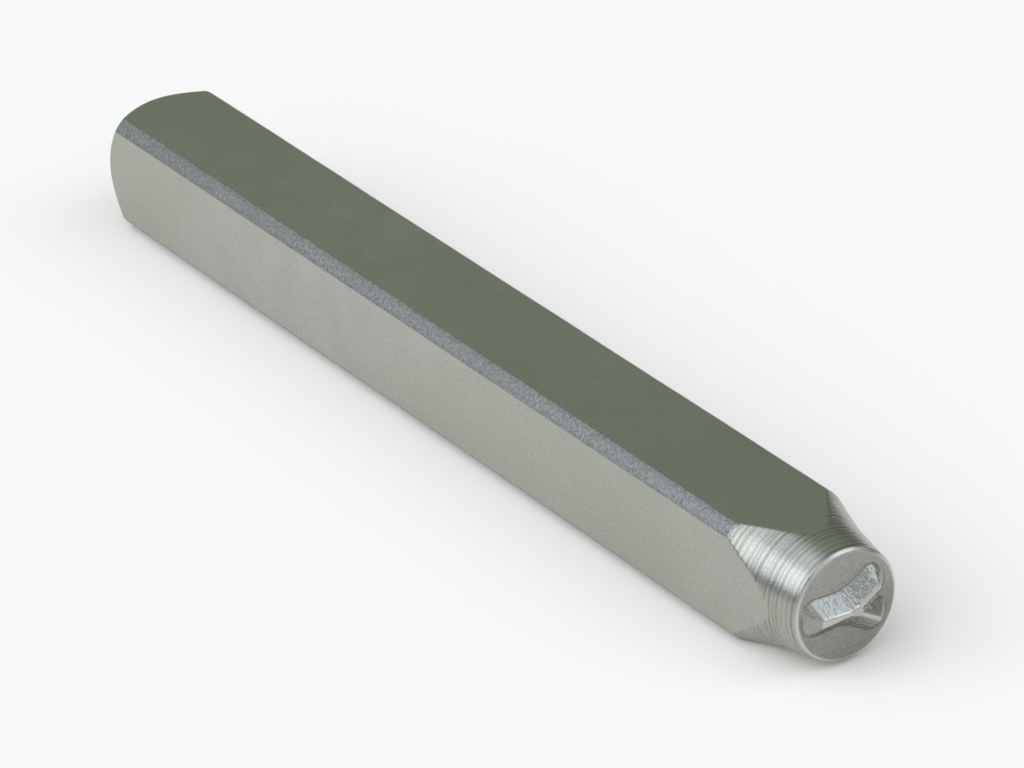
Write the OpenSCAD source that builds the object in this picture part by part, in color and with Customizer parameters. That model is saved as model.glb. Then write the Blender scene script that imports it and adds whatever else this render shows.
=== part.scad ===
// Steel letter punch: a rolled square bar with ground flats, turned to a round
// nose that carries one raised letter, and bevelled at the head that is struck.
// It lies on one flat of its shank, with the letter facing +X.

/* [Shank] */
// Width of the square shank across its flats, mm
shank_w = 6; // [5:0.1:8]
// Radius of the corners of the rolled bar, mm
corner_r = 1.75; // [1.3:0.05:1.9]
// How much is ground off each flat of the rolled bar, mm
ground_off = 0.25; // [0.1:0.01:0.3]
// Overall length, from the struck head to the crest of the letter, mm
overall_l = 60; // [45:1:80]

/* [Turned nose] */
// Diameter of the round nose at the letter face, mm
nose_d = 5.45; // [5:0.05:5.6]
// Half angle of the turned taper behind the face, degrees
taper_angle = 9.6; // [8.5:0.1:11]
// Length of the straight taper, mm
taper_l = 1.9; // [1.5:0.05:2.4]
// Radius of the sweep that carries the taper out to the corners, mm
sweep_r = 11.5; // [10:0.5:14]
// Width of the small bevel round the letter face, mm
rim_bevel = 0.14; // [0.05:0.01:0.2]

/* [Turning marks] */
// Distance between the turned grooves, mm
groove_pitch = 0.26; // [0.24:0.01:0.4]
// Depth of the turned grooves, mm
groove_depth = 0.02; // [0.01:0.001:0.03]

/* [Letter] */
// Height of the letter along its crest, mm
letter_h = 2.8; // [2.3:0.05:2.9]
// Length of the stem along its crest, mm
stem_l = 1.55; // [1.2:0.05:1.6]
// Distance between the two upper ends along the crest, mm
arm_spread = 1.55; // [1.2:0.05:1.6]
// How far the letter sits below the middle of the face, mm
letter_drop = 0.15; // [0:0.01:0.2]
// Height of the crest above the face, mm
relief = 0.8; // [0.6:0.05:0.85]
// Width of the flat crest that marks the work, mm
crest_w = 0.12; // [0.06:0.01:0.2]
// Width to which the crest spreads at the foot of the stem, mm
stem_foot_w = 0.3; // [0.2:0.01:0.4]
// Angle of the flanks to the axis of the punch, degrees
flank_angle = 44; // [36:1:45]
// Radius of the corners at the foot of the flanks, mm
foot_r = 0.5; // [0.2:0.05:0.55]

/* [Head] */
// Diameter of the flat that the hammer strikes, mm
head_d = 5; // [4:0.1:5.6]
// Length of the bevel round the head, mm
head_bevel_l = 1.4; // [1:0.1:2]

/* [Hidden] */
$fn = 96;
embed = 0.3;
steel = [0.62, 0.63, 0.58];
half_w = shank_w / 2;
corner_in = half_w + ground_off - corner_r;
rolled_w = shank_w + 2 * ground_off;
corner_reach = corner_in * sqrt(2) + corner_r;
face_x = overall_l / 2 - relief;
head_x = -overall_l / 2;
clear_r = corner_reach + 1;
flank_run = relief * tan(flank_angle);
letter_bottom = -letter_h / 2 - letter_drop;
arm_rise = letter_h - stem_l;
skin = 0.01;

// Outline of the bar: rolled round at the corners, and ground flat on its four sides
module bar_section() {
    intersection() {
        square(shank_w, center = true);
        union() {
            square([rolled_w, 2 * corner_in], center = true);
            square([2 * corner_in, rolled_w], center = true);
            for (sx = [-1, 1], sy = [-1, 1])
                translate([sx * corner_in, sy * corner_in]) circle(r = corner_r);
        }
    }
}

// Square bar along X, resting on Z = 0
module bar() {
    translate([head_x, 0, half_w])
        rotate([0, 90, 0])
            linear_extrude(face_x - head_x) bar_section();
}

// Where the straight taper runs into the sweep, as distance behind the face and radius
sweep_start = [taper_l, nose_d / 2 + taper_l * tan(taper_angle)];
sweep_centre = sweep_start + sweep_r * [-sin(taper_angle), cos(taper_angle)];

// Radius of the turned nose at a distance behind the face
function nose_r(s) = s < taper_l
    ? nose_d / 2 + s * tan(taper_angle)
    : sweep_centre.y - sqrt(sweep_r * sweep_r - pow(s - sweep_centre.x, 2));

// Distance behind the face at which the sweep has a radius
function sweep_at(r) = sweep_centre.x + sqrt(sweep_r * sweep_r - pow(sweep_centre.y - r, 2));

groove_count = floor((sweep_at(corner_reach) - rim_bevel) / groove_pitch);
grooves = [
    for (i = [0 : groove_count])
        let (ridge = rim_bevel + i * groove_pitch, valley = ridge + groove_pitch / 2)
        each [
            [nose_r(ridge), face_x - ridge],
            [nose_r(valley) - groove_depth, face_x - valley]
        ]
];

// Everything that the lathe leaves: radius against distance along the axis
module turned_section() {
    polygon(concat(
        [
            [0, face_x],
            [nose_d / 2 - rim_bevel, face_x]
        ],
        grooves,
        [
            [clear_r, face_x - sweep_at(clear_r)],
            [clear_r, head_x + head_bevel_l],
            [corner_reach, head_x + head_bevel_l],
            [head_d / 2, head_x],
            [0, head_x]
        ]
    ));
}

// Solid of revolution about the axis of the punch
module turned_body() {
    translate([0, 0, half_w])
        rotate([0, 90, 0])
            rotate_extrude() turned_section();
}

// One end of a stroke: its foot below the face and its crest, as wide as asked
module stroke_end(width) {
    foot = width / 2 + flank_run - foot_r;
    translate([0, 0, -embed])
        linear_extrude(embed)
            offset(r = foot_r) square(2 * foot, center = true);
    translate([0, 0, relief - skin])
        linear_extrude(skin)
            offset(r = width / 4) square(width / 2, center = true);
}

// One stroke of the letter: a ridge with flanks sloping to the face on all sides
module stroke(from, to, from_w, to_w) {
    along = to - from;
    translate([face_x, from.x, half_w + from.y])
        rotate([atan2(along.y, along.x), 0, 0])
            rotate([90, 0, 90])
                hull($fn = 32) {
                    stroke_end(from_w);
                    translate([norm(along), 0, 0]) stroke_end(to_w);
                }
}

// The letter reads along +Y and is the same in a mirror, so it stamps true
module letter() {
    fork = [letter_bottom + stem_l, 0];
    stroke([letter_bottom, 0], fork, stem_foot_w, crest_w);
    for (side = [-1, 1])
        stroke(fork, fork + [arm_rise, side * arm_spread / 2], crest_w, crest_w);
}

module punch() {
    color(steel) {
        intersection() {
            bar();
            turned_body();
        }
        letter();
    }
}

punch();
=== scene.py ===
import math

import bpy
import numpy as np
from mathutils import Matrix, Vector


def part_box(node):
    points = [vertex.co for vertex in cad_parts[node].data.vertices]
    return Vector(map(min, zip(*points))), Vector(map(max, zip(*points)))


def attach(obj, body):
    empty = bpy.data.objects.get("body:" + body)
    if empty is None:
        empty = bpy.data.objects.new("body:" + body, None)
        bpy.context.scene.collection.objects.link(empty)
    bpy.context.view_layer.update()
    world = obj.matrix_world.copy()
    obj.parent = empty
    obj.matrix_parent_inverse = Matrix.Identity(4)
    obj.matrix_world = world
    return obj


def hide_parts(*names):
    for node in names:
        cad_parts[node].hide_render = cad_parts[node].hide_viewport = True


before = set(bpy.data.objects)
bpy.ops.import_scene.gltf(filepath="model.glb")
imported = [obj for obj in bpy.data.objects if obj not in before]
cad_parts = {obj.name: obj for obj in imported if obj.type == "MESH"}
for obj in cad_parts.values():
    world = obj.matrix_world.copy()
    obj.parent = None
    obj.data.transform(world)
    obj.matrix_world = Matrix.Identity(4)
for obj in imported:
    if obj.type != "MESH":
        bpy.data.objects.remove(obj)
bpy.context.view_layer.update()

MM = 0.001

# Sizes of the punch in millimetres, as in the CAD model
node_low, node_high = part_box("punch")
LENGTH = (node_high.x - node_low.x) / MM
SHANK_W = (node_high.z - node_low.z) / MM
HALF_W = SHANK_W / 2
CORNER_R = 1.75
GROUND_OFF = 0.25
NOSE_D = 5.45
TAPER = math.radians(9.6)
TAPER_L = 1.9
SWEEP_R = 11.5
RIM = 0.14
RIM_CROWN = 0.008
RELIEF = 0.8
LETTER_H = 2.8
STEM_L = 1.55
ARM_SPREAD = 1.55
LETTER_DROP = 0.15
CREST_W = 0.12
STEM_FOOT_W = 0.3
CREST_SOFT = 0.05
FLANK = math.radians(44)
FOOT_P = 2.2
FORK_SOFT = 0.28
FOOT_SOFT = 0.1
HEAD_D = 5.0
HEAD_BEVEL_L = 1.4
GROOVE_PITCH = 0.26
GROOVE_DEPTH = 0.016
UNEVEN_FLATS = 0.008
ROUGH_FLANKS = 0.007
ROUGH_FACE = 0.003

FACE_X = LENGTH / 2 - RELIEF
BODY_L = LENGTH - RELIEF
CORNER_IN = HALF_W + GROUND_OFF - CORNER_R
CORNER_REACH = CORNER_IN * math.sqrt(2) + CORNER_R
FACE_R = NOSE_D / 2 - RIM
FLAT_HALF = CORNER_IN + math.sqrt(CORNER_R**2 - (HALF_W - CORNER_IN) ** 2)

# Mesh density
FLAT_STEPS = 50
EDGE_STEPS = 5
EDGE_ZONE = 0.1
CORNER_STEPS = 22
SEGMENTS = 4 * (FLAT_STEPS + 2 * EDGE_STEPS + CORNER_STEPS)
RIM_STEPS = (0, 0.07, 0.2, 0.4, 0.6, 0.8, 0.93, 1)
FACE_RINGS = 96
SHANK_RINGS = 34
BEVEL_RINGS = 30
HEAD_RINGS = 14
RING_GAP = 0.022
EDGE_SOFT = 0.05
BAR_SOFT = 0.035
SEED = 7

rng = np.random.default_rng(SEED)


def smooth_min(a, b, soft):
    """Smaller of two fields, with the corner between them rounded."""
    h = np.clip(0.5 + 0.5 * (b - a) / soft, 0, 1)
    return b + (a - b) * h - soft * h * (1 - h)


def smooth_step(low, high, x):
    t = np.clip((x - low) / (high - low), 0, 1)
    return t * t * (3 - 2 * t)


def bar_radius(angle):
    """Distance from the axis to the surface of the bar: ground flats and rolled corners."""
    u = np.abs(np.cos(angle))
    v = np.abs(np.sin(angle))
    u, v = np.maximum(u, v), np.minimum(u, v)
    reach = CORNER_IN * (u + v)
    corner = reach + np.sqrt(np.maximum(reach**2 - 2 * CORNER_IN**2 + CORNER_R**2, 0))
    flat = HALF_W / u
    return np.where(HALF_W * v < (FLAT_HALF - 3 * EDGE_ZONE) * u, flat, smooth_min(flat, corner, BAR_SOFT))


def even_angles():
    """Angles that step evenly along the outline of the bar, and more closely at the edges of its flats."""
    edge = math.atan2(FLAT_HALF, HALF_W)
    inner = FLAT_HALF - EDGE_ZONE
    start = np.linspace(-FLAT_HALF, -inner, EDGE_STEPS + 1)[:-1]
    middle = np.linspace(-inner, inner, FLAT_STEPS + 1)[:-1]
    end = np.linspace(inner, FLAT_HALF, EDGE_STEPS + 1)[:-1]
    flat = np.arctan2(np.concatenate([start, middle, end]), HALF_W)
    corner = np.linspace(edge, math.pi / 2 - edge, CORNER_STEPS + 1)[:-1]
    side = np.concatenate([flat, corner])
    return np.concatenate([side + k * math.pi / 2 for k in range(4)])


SWEEP_S = TAPER_L - SWEEP_R * math.sin(TAPER)
SWEEP_RHO = NOSE_D / 2 + TAPER_L * math.tan(TAPER) + SWEEP_R * math.cos(TAPER)


def nose_radius(s):
    """Radius of the turned nose at a distance behind the face."""
    taper = NOSE_D / 2 + s * math.tan(TAPER)
    sweep = SWEEP_RHO - np.sqrt(np.maximum(SWEEP_R**2 - (s - SWEEP_S) ** 2, 0))
    return np.where(s < TAPER_L, taper, sweep)


NOSE_END = SWEEP_S + math.sqrt(SWEEP_R**2 - (SWEEP_RHO - CORNER_REACH) ** 2)


def make_grooves():
    """Turned grooves of uneven spacing, depth and width: place, depth and half width of each."""
    grooves = []
    s = RIM + 0.6 * GROOVE_PITCH
    while s < NOSE_END + GROOVE_PITCH:
        depth = GROOVE_DEPTH * rng.uniform(0.35, 1.1)
        width = GROOVE_PITCH * rng.uniform(0.3, 0.48)
        grooves.append((s, depth, width))
        s += GROOVE_PITCH * rng.uniform(0.65, 1.3)
    return grooves


GROOVES = make_grooves()


def groove_cut(s):
    """How deep the turned grooves are at a distance behind the face."""
    cut = np.zeros_like(s)
    for place, depth, width in GROOVES:
        t = np.abs(s - place) / width
        cut = np.maximum(cut, depth * np.clip(1 - t, 0, 1) ** 0.8)
    return cut


def axial_steps():
    """Distances behind the face at which the lateral surface has a ring of vertices."""
    steps = [RIM + 0.012, RIM + 0.036]
    for place, _, width in GROOVES:
        steps += [place - width, place - width / 2, place, place + width / 2, place + width]
    nose = np.array(sorted(steps))
    keep = [nose[0]]
    for s in nose[1:]:
        if s - keep[-1] > RING_GAP:
            keep.append(s)
    shank = np.linspace(keep[-1], BODY_L - HEAD_BEVEL_L - 0.3, SHANK_RINGS)[1:]
    head = BODY_L - HEAD_BEVEL_L + np.linspace(-0.25, HEAD_BEVEL_L, BEVEL_RINGS)
    return np.concatenate([keep, shank, head])


def wave_sum(count, low, high, dims):
    """A few random waves that add up to a smooth uneven field of amplitude about 1."""
    direction = rng.normal(size=(count, dims))
    direction /= np.linalg.norm(direction, axis=1, keepdims=True)
    length = np.exp(rng.uniform(np.log(low), np.log(high), count))
    phase = rng.uniform(0, 2 * math.pi, count)
    k = direction * (2 * math.pi / length)[:, None]

    def field(*coords):
        total = 0
        for row, p in zip(k, phase):
            total = total + np.sin(sum(c * a for c, a in zip(coords, row)) + p)
        return total / math.sqrt(count / 2)

    return field


flat_waves = wave_sum(24, 2.5, 14, 3)
flank_waves = wave_sum(120, 0.09, 0.4, 2)
face_waves = wave_sum(60, 0.2, 1.2, 2)


def lateral_surface(angles):
    """Rings of points round the axis, from just behind the face to the head."""
    steps = axial_steps()
    s = steps[:, None]
    a = angles[None, :]
    bar = bar_radius(a) + 0 * s
    x = FACE_X - s + 0 * a
    y = bar * np.cos(a)
    z = bar * np.sin(a)
    bar = bar - UNEVEN_FLATS * (1 + np.tanh(flat_waves(x, y, z))) * smooth_step(0.3, 1.0, s)
    turned = nose_radius(s) - groove_cut(s)
    to_head = BODY_L - s
    bevel = HEAD_D / 2 + (CORNER_REACH - HEAD_D / 2) * to_head / HEAD_BEVEL_L
    r = smooth_min(bar, turned, EDGE_SOFT)
    r = smooth_min(r, bevel, EDGE_SOFT * 2)
    return x, r * np.cos(a), HALF_W + r * np.sin(a)


def stroke_height(p, q, start, end, start_w, end_w):
    """Height above the face of one ridge of the letter, with hipped ends and a flat crest."""
    along = np.array(end) - np.array(start)
    run = np.linalg.norm(along)
    along = along / run
    dp, dq = p - start[0], q - start[1]
    t = dp * along[0] + dq * along[1]
    half = (start_w + (end_w - start_w) * np.clip(t / run, 0, 1)) / 2
    side = np.maximum(np.abs(dq * along[0] - dp * along[1]) - half, 0)
    before = np.maximum(-t, 0)
    past = np.maximum(t - run - half, 0)
    away = (side**FOOT_P + past**FOOT_P) ** (1 / FOOT_P)
    away = np.where(t < 0, np.hypot(side, before), away)
    return RELIEF - away / math.tan(FLANK)


def letter_height(p, q):
    """Height of the letter above the face: p runs towards its top and q across it."""
    bottom = -LETTER_H / 2 - LETTER_DROP
    fork = (bottom + STEM_L, 0.0)
    top = bottom + LETTER_H
    h = stroke_height(p, q, fork, (bottom, 0.0), CREST_W, STEM_FOOT_W)
    for side in (-1, 1):
        arm = stroke_height(p, q, fork, (top, side * ARM_SPREAD / 2), CREST_W, CREST_W)
        h = -smooth_min(-h, -arm, FORK_SOFT)
    h = smooth_min(h, RELIEF + 0 * h, CREST_SOFT)
    rough = ROUGH_FLANKS * flank_waves(p, q) * smooth_step(0, 0.15, h) * smooth_step(RELIEF, RELIEF - 0.15, h)
    h = -smooth_min(-h, 0 * h, FOOT_SOFT)
    return np.minimum(h + rough + ROUGH_FACE * face_waves(p, q), RELIEF)


def face_surface(angles):
    """Rings of points over the rim and the letter face, from the outside in."""
    rings = []
    rim_r = nose_radius(np.array(RIM))
    for t in RIM_STEPS:
        crown = RIM_CROWN * math.sin(math.pi * t)
        rings.append((rim_r + (FACE_R - rim_r) * t + crown, crown - RIM * (1 - t)))
    for t in np.linspace(1 - 0.012 / FACE_R, 0, FACE_RINGS)[:-1]:
        rings.append((FACE_R * t, None))
    xs, ys, zs = [], [], []
    for radius, rise in rings:
        p = radius * np.cos(angles)
        q = radius * np.sin(angles)
        if rise is None:
            h = letter_height(p, q) * smooth_step(FACE_R, FACE_R - 0.12, radius)
        else:
            h = rise + 0 * p
        xs.append(FACE_X + h)
        ys.append(p)
        zs.append(HALF_W + q)
    return np.array(xs), np.array(ys), np.array(zs)


def head_surface(angles, outer):
    """Flat that the hammer strikes, from the outside in."""
    xs, ys, zs = [], [], []
    for t in np.linspace(1, 0, HEAD_RINGS)[1:-1]:
        xs.append(-LENGTH / 2 + 0 * angles)
        ys.append(t * outer * np.cos(angles))
        zs.append(HALF_W + t * outer * np.sin(angles))
    return np.array(xs), np.array(ys), np.array(zs)


def painted_shade_mask(x, y, z):
    """Painted shade: how far each point lies in a groove of the nose or at the foot of the letter, from 0 to
    1, more towards the bottom of the face; the colour is darkened there.
    """
    s = FACE_X - x
    p, q = y, z - HALF_W
    in_groove = groove_cut(s) / GROOVE_DEPTH * (s > RIM) * (s < NOSE_END)
    rise = letter_height(p, q)
    at_foot = np.exp(-((rise - 0.04) / 0.045) ** 2) * (s < 0.5 * RIM) * (np.hypot(p, q) < FACE_R - 0.03)
    # painted shade at the foot of the letter, stronger towards the bottom of the face
    at_foot = at_foot * (0.2 + 0.8 * smooth_step(0.5, 0.1, q))
    flat = np.hypot(p, q) > bar_radius(np.arctan2(q, p)) - 0.02
    return np.clip(np.where(flat, 0, in_groove) + at_foot, 0, 1)


def painted_highlight_mask(x, y, z):
    """Painted highlight: how much each point lies on the rim of the face or the crest of the letter, from 0
    to 1; the colour is lightened there.
    """
    s = FACE_X - x
    p, q = y, z - HALF_W
    radius = np.hypot(p, q)
    crest = np.exp(-(((-s - RELIEF) / 0.05 + 0.7) ** 2))
    rim = np.exp(-(((radius - FACE_R - 0.05) / 0.05) ** 2)) * (s < RIM + 0.02) * (s > -RIM)
    return np.clip(crest + rim, 0, 1)


def rolled_mask(y, z):
    """Which points lie on the rolled corners of the bar, from 0 to 1."""
    angle = np.arctan2(z - HALF_W, y)
    u, v = np.abs(np.cos(angle)), np.abs(np.sin(angle))
    slope = np.minimum(u, v) / np.maximum(u, v) * HALF_W
    skin = np.hypot(y, z - HALF_W) > bar_radius(angle) - 0.03
    return skin * smooth_step(FLAT_HALF - 0.02, FLAT_HALF + 0.05, slope)


def build_punch():
    """The whole punch as one mesh of rings: letter face, rim, nose, shank, bevel and head."""
    angles = even_angles()
    fx, fy, fz = face_surface(angles)
    lx, ly, lz = lateral_surface(angles)
    outer = np.hypot(ly[-1], lz[-1] - HALF_W)
    hx, hy, hz = head_surface(angles, outer)
    rings = np.concatenate(
        [np.stack(part, axis=-1) for part in ((fx[::-1], fy[::-1], fz[::-1]), (lx, ly, lz), (hx, hy, hz))]
    )
    count = len(rings)
    centre_height = letter_height(np.zeros(1), np.zeros(1))[0]
    tip = (FACE_X + centre_height, 0.0, HALF_W)
    tail = (-LENGTH / 2, 0.0, HALF_W)
    points = np.concatenate([rings.reshape(-1, 3), [tip, tail]]) * MM
    n = SEGMENTS
    faces = []
    for i in range(count - 1):
        for j in range(n):
            k = (j + 1) % n
            faces.append((i * n + j, (i + 1) * n + j, (i + 1) * n + k, i * n + k))
    last = (count - 1) * n
    for j in range(n):
        k = (j + 1) % n
        faces.append((count * n, j, k))
        faces.append((count * n + 1, last + k, last + j))
    mesh = bpy.data.meshes.new("punch_body")
    mesh.from_pydata(points.tolist(), [], faces)
    mesh.validate()
    mesh.shade_smooth()
    x, y, z = points.T / MM
    for name, mask in (
        # painted shade in the grooves and at the foot of the letter
        ("painted_shade", painted_shade_mask(x, y, z)),
        ("rolled", rolled_mask(y, z)),
        # painted highlight on the rim of the face and the crest of the letter
        ("edge", painted_highlight_mask(x, y, z)),
    ):
        mesh.attributes.new(name, "FLOAT", "POINT").data.foreach_set("value", mask.astype(np.float32))
    piece = bpy.data.objects.new("punch_body", mesh)
    bpy.context.collection.objects.link(piece)
    return piece


class Nodes:
    """Short way to add shader nodes and join them."""

    def __init__(self, owner):
        owner.use_nodes = True
        self.tree = owner.node_tree
        self.shader = self.tree.nodes.get("Principled BSDF") or self.tree.nodes["Background"]

    def add(self, kind, **settings):
        node = self.tree.nodes.new("ShaderNode" + kind)
        for key, value in settings.items():
            setattr(node, key, value)
        return node

    def join(self, source, target):
        self.tree.links.new(source, target)

    def math(self, operation, a, b=0.0, clamp=False):
        node = self.add("Math", operation=operation, use_clamp=clamp)
        for socket, value in zip(node.inputs, (a, b)):
            if isinstance(value, (int, float)):
                socket.default_value = value
            else:
                self.join(value, socket)
        return node.outputs[0]

    def noise(self, vector, scale, detail=2.0, rough=0.5):
        node = self.add("TexNoise")
        node.inputs["Scale"].default_value = scale
        node.inputs["Detail"].default_value = detail
        node.inputs["Roughness"].default_value = rough
        self.join(vector, node.inputs["Vector"])
        return node.outputs["Fac"]

    def ramp(self, value, stops):
        node = self.add("ValToRGB")
        ramp = node.color_ramp
        while len(ramp.elements) < len(stops):
            ramp.elements.new(0.5)
        for element, (place, colour) in zip(ramp.elements, stops):
            element.position = place
            element.color = (*colour, 1)
        self.join(value, node.inputs["Fac"])
        return node.outputs["Color"]

    def seen(self):
        """1 where the camera, a reflection or a refraction sees the surface."""
        rays = self.add("LightPath").outputs
        total = self.math("ADD", rays["Is Camera Ray"], rays["Is Glossy Ray"])
        return self.math("ADD", total, rays["Is Transmission Ray"], clamp=True)

    def mix(self, factor, a, b, blend="MIX"):
        node = self.add("Mix", data_type="RGBA", blend_type=blend)
        for socket, value in ((node.inputs[0], factor), (node.inputs[6], a), (node.inputs[7], b)):
            if isinstance(value, (int, float)):
                socket.default_value = value
            elif isinstance(value, tuple):
                socket.default_value = (*value, 1)
            else:
                self.join(value, socket)
        return node.outputs[2]


def steel_material():
    """Plated steel: patchy tone, painted shade in recesses and on the letter face, stained rolled corners, a
    painted highlight on the rim and crest, and turned rings as bump.
    """
    material = bpy.data.materials.new("plated_steel")
    n = Nodes(material)
    place = n.add("TexCoord").outputs["Object"]
    split = n.add("SeparateXYZ")
    n.join(place, split.inputs[0])
    x = split.outputs["X"]
    behind = n.math("SUBTRACT", FACE_X * MM, x)

    grain = n.noise(place, 9000, 3, 0.6)
    patches = n.noise(place, 420, 3, 0.55)
    broad = n.noise(place, 90, 2, 0.5)

    tone = n.ramp(patches, [(0.3, (0.43, 0.433, 0.39)), (0.7, (0.485, 0.483, 0.445))])
    tone = n.mix(n.ramp(broad, [(0.35, (0, 0, 0)), (0.7, (1, 1, 1))]), tone, (0.42, 0.43, 0.375))
    speck = n.ramp(n.noise(place, 12000, 2, 0.5), [(0.35, (0, 0, 0)), (0.72, (1, 1, 1))])
    tone = n.mix(n.math("MULTIPLY", speck, 0.35), tone, (0.17, 0.175, 0.15))
    # painted shade: the grooves and the foot of the letter are darkened in the colour
    painted_shade = n.add("Attribute", attribute_name="painted_shade").outputs["Fac"]
    tone = n.mix(n.math("MULTIPLY", painted_shade, 0.55), tone, (0.10, 0.10, 0.08))
    rolled = n.add("Attribute", attribute_name="rolled").outputs["Fac"]
    scale_marks = n.noise(place, 6500, 3, 0.7)
    stained = n.ramp(scale_marks, [(0.40, (0, 0, 0)), (0.62, (1, 1, 1))])
    stained = n.math("ADD", n.math("MULTIPLY", stained, 0.6), 0.4)
    tone = n.mix(n.math("MULTIPLY", rolled, stained), tone, (0.19, 0.21, 0.215))
    # painted shade: the letter face is darkened in the colour
    face_shade_mask = n.math("GREATER_THAN", x, (FACE_X - 0.02) * MM)
    tone = n.mix(n.math("MULTIPLY", face_shade_mask, 0.17), tone, (0.0, 0.0, 0.0))
    # painted highlight: the rim of the face and the crest of the letter are lightened in the colour
    edge = n.add("Attribute", attribute_name="edge").outputs["Fac"]
    tone = n.mix(n.math("MULTIPLY", edge, 0.5), tone, (0.75, 0.76, 0.74))
    n.join(tone, n.shader.inputs["Base Color"])
    n.shader.inputs["Metallic"].default_value = 1.0

    rough = n.math("ADD", n.math("MULTIPLY", grain, 0.10), 0.18)
    rough = n.math("ADD", rough, n.math("MULTIPLY", patches, 0.08))
    rough = n.math("ADD", rough, n.math("MULTIPLY", rolled, 0.06))
    n.join(rough, n.shader.inputs["Roughness"])

    rings = n.add("TexNoise", noise_dimensions="1D")
    rings.inputs["Scale"].default_value = 11000
    rings.inputs["Detail"].default_value = 3
    n.join(behind, rings.inputs["W"])
    on_nose = n.math("LESS_THAN", behind, NOSE_END * MM)
    on_bevel = n.math("GREATER_THAN", behind, (BODY_L - HEAD_BEVEL_L) * MM)
    turned = n.math("ADD", on_nose, on_bevel)
    ring_height = n.math("MULTIPLY", n.math("SUBTRACT", rings.outputs["Fac"], 0.5), turned)
    bump_rings = n.add("Bump")
    bump_rings.inputs["Strength"].default_value = 0.5
    bump_rings.inputs["Distance"].default_value = 0.02 * MM
    n.join(ring_height, bump_rings.inputs["Height"])
    bump_rolled = n.add("Bump")
    bump_rolled.inputs["Strength"].default_value = 0.8
    bump_rolled.inputs["Distance"].default_value = 0.03 * MM
    n.join(n.math("MULTIPLY", rolled, scale_marks), bump_rolled.inputs["Height"])
    n.join(bump_rings.outputs["Normal"], bump_rolled.inputs["Normal"])
    bump_grain = n.add("Bump")
    bump_grain.inputs["Strength"].default_value = 0.35
    bump_grain.inputs["Distance"].default_value = 0.01 * MM
    n.join(grain, bump_grain.inputs["Height"])
    n.join(bump_rolled.outputs["Normal"], bump_grain.inputs["Normal"])
    n.join(bump_grain.outputs["Normal"], n.shader.inputs["Normal"])
    return material


# Glow of the floor, which only camera, glossy and transmission rays see
FLOOR_LIFT = 0.085
FLOOR_HALF = 2.0


def floor_material():
    material = bpy.data.materials.new("pale_floor")
    n = Nodes(material)
    n.shader.inputs["Base Color"].default_value = (0.94, 0.91, 0.875, 1)
    n.shader.inputs["Roughness"].default_value = 0.9
    n.shader.inputs["Specular IOR Level"].default_value = 0.1
    n.shader.inputs["Emission Color"].default_value = (1.0, 0.91, 0.80, 1)
    n.join(n.math("MULTIPLY", n.seen(), FLOOR_LIFT), n.shader.inputs["Emission Strength"])
    return material


def build_floor():
    mesh = bpy.data.meshes.new("floor")
    corners = [(FLOOR_HALF * x, FLOOR_HALF * y, 0) for x, y in ((-1, -1), (1, -1), (1, 1), (-1, 1))]
    mesh.from_pydata(corners, [], [(0, 1, 2, 3)])
    floor = bpy.data.objects.new("floor", mesh)
    bpy.context.collection.objects.link(floor)
    floor.data.materials.append(floor_material())


# Parts of the room: direction from the punch, outer and inner half angle in degrees, colour
WALLS = [
    ((-0.60, 0.62, 0.50), 60, 25, (0.35, 0.40, 0.33)),
    ((-0.55, 0.83, 0.05), 40, 12, (0.24, 0.26, 0.22)),
    ((0.70, -0.45, 0.56), 40, 20, (0.80, 0.86, 0.96)),
    ((0.20, -0.66, 0.72), 32, 16, (1.6, 1.65, 1.7)),
    ((-0.38, -0.36, 0.85), 28, 9, (1.22, 1.30, 1.44)),
    ((0.70, -0.50, 0.51), 12, 5, (0.10, 0.10, 0.11)),
]

# Lamps: name, direction from the nose, size, power in watts, colour
LAMPS = [
    ("key", (-0.42, -0.755, 0.505), 0.52, 1.12, (0.90, 0.97, 1.12)),
    ("fill", (0.48, 0.46, 0.75), 0.60, 0.98, (0.78, 0.89, 1.13)),
]
LAMP_DISTANCE = 0.8


def area_lamp(name, place, target, size, power, colour):
    data = bpy.data.lights.new(name, "AREA")
    data.shape = "DISK"
    data.size = size
    data.energy = power
    data.color = colour
    lamp = bpy.data.objects.new(name, data)
    bpy.context.collection.objects.link(lamp)
    lamp.location = place
    lamp.rotation_euler = (Vector(target) - Vector(place)).to_track_quat("-Z", "Y").to_euler()


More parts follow.
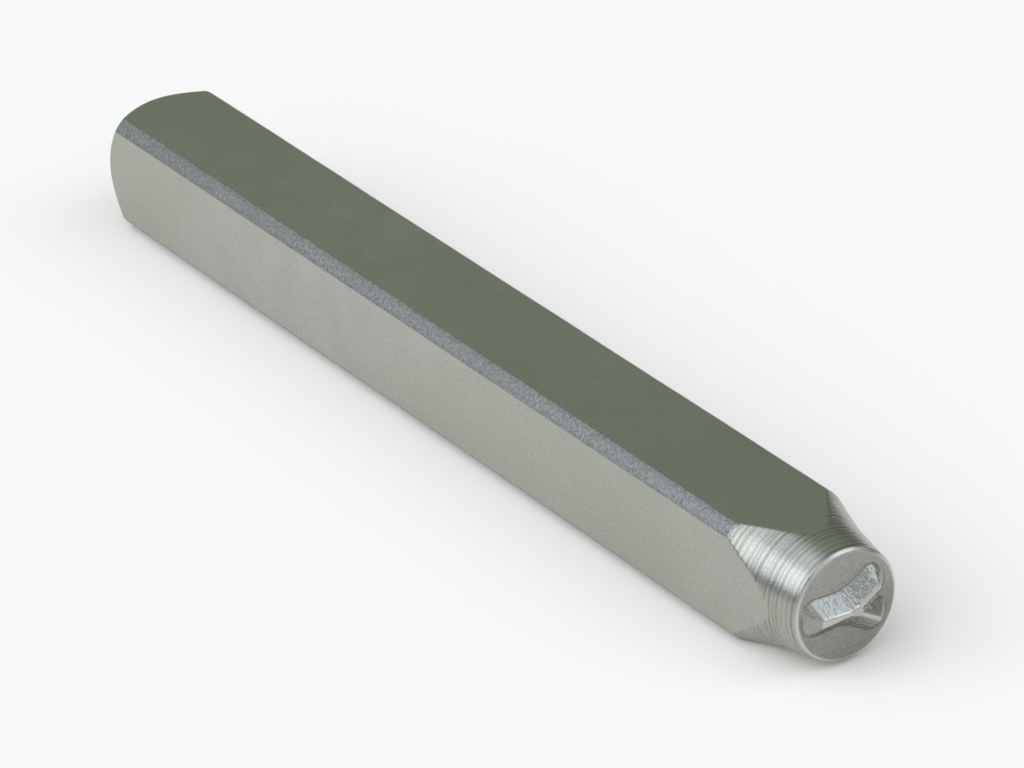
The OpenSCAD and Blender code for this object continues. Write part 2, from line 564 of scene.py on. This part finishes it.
def build_world():
    """Studio round the punch: a pale room with a darker far wall, a bright near side and a dark lens."""
    world = bpy.data.worlds.new("studio")
    bpy.context.scene.world = world
    n = Nodes(world)
    place = n.add("TexCoord").outputs["Generated"]
    split = n.add("SeparateXYZ")
    n.join(place, split.inputs[0])
    heights = [(0.0, 0.50), (0.08, 0.30), (0.20, 0.36), (0.36, 0.66), (1.0, 0.80)]
    room = n.ramp(split.outputs["Z"], [(z, (0.99 * value, value, 1.01 * value)) for z, value in heights])
    for direction, outer, inner, colour in WALLS:
        facing = n.add("VectorMath", operation="DOT_PRODUCT")
        n.join(place, facing.inputs[0])
        facing.inputs[1].default_value = Vector(direction).normalized()
        part = n.add("MapRange", interpolation_type="SMOOTHSTEP")
        n.join(facing.outputs["Value"], part.inputs["Value"])
        part.inputs["From Min"].default_value = math.cos(math.radians(outer))
        part.inputs["From Max"].default_value = math.cos(math.radians(inner))
        room = n.mix(part.outputs["Result"], room, colour)
    n.join(room, n.shader.inputs["Color"])
    n.shader.inputs["Strength"].default_value = 1.0


# Camera: direction and distance from the letter face, where it aims, roll and lens, as in the photograph
VIEW_DIRECTION = Vector((0.709, -0.494, 0.502)).normalized()
VIEW_DISTANCE = 295.0
VIEW_AIM_X = 2.6
VIEW_ROLL = math.radians(-3.8)
LENS = 236.0


def build_camera():
    data = bpy.data.cameras.new("camera")
    data.lens = LENS
    data.sensor_width = 36
    data.clip_start = 0.01
    data.clip_end = 10
    camera = bpy.data.objects.new("camera", data)
    bpy.context.collection.objects.link(camera)
    face = Vector((FACE_X, 0, HALF_W)) * MM
    camera.location = face + VIEW_DIRECTION * VIEW_DISTANCE * MM
    aim = Vector((VIEW_AIM_X, 0.0, HALF_W)) * MM
    turn = (aim - camera.location).to_track_quat("-Z", "Y")
    camera.rotation_euler = (turn.to_matrix() @ Matrix.Rotation(VIEW_ROLL, 3, "Z")).to_euler()
    bpy.context.scene.camera = camera


punch = build_punch()
punch.data.materials.append(steel_material())
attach(punch, "root")
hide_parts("punch")

build_floor()
build_world()
nose = Vector((FACE_X - 2, 0, HALF_W)) * MM
for name, direction, size, power, colour in LAMPS:
    area_lamp(name, nose + Vector(direction) * LAMP_DISTANCE, nose, size, power, colour)
build_camera()
bpy.context.scene.view_settings.view_transform = "Standard"
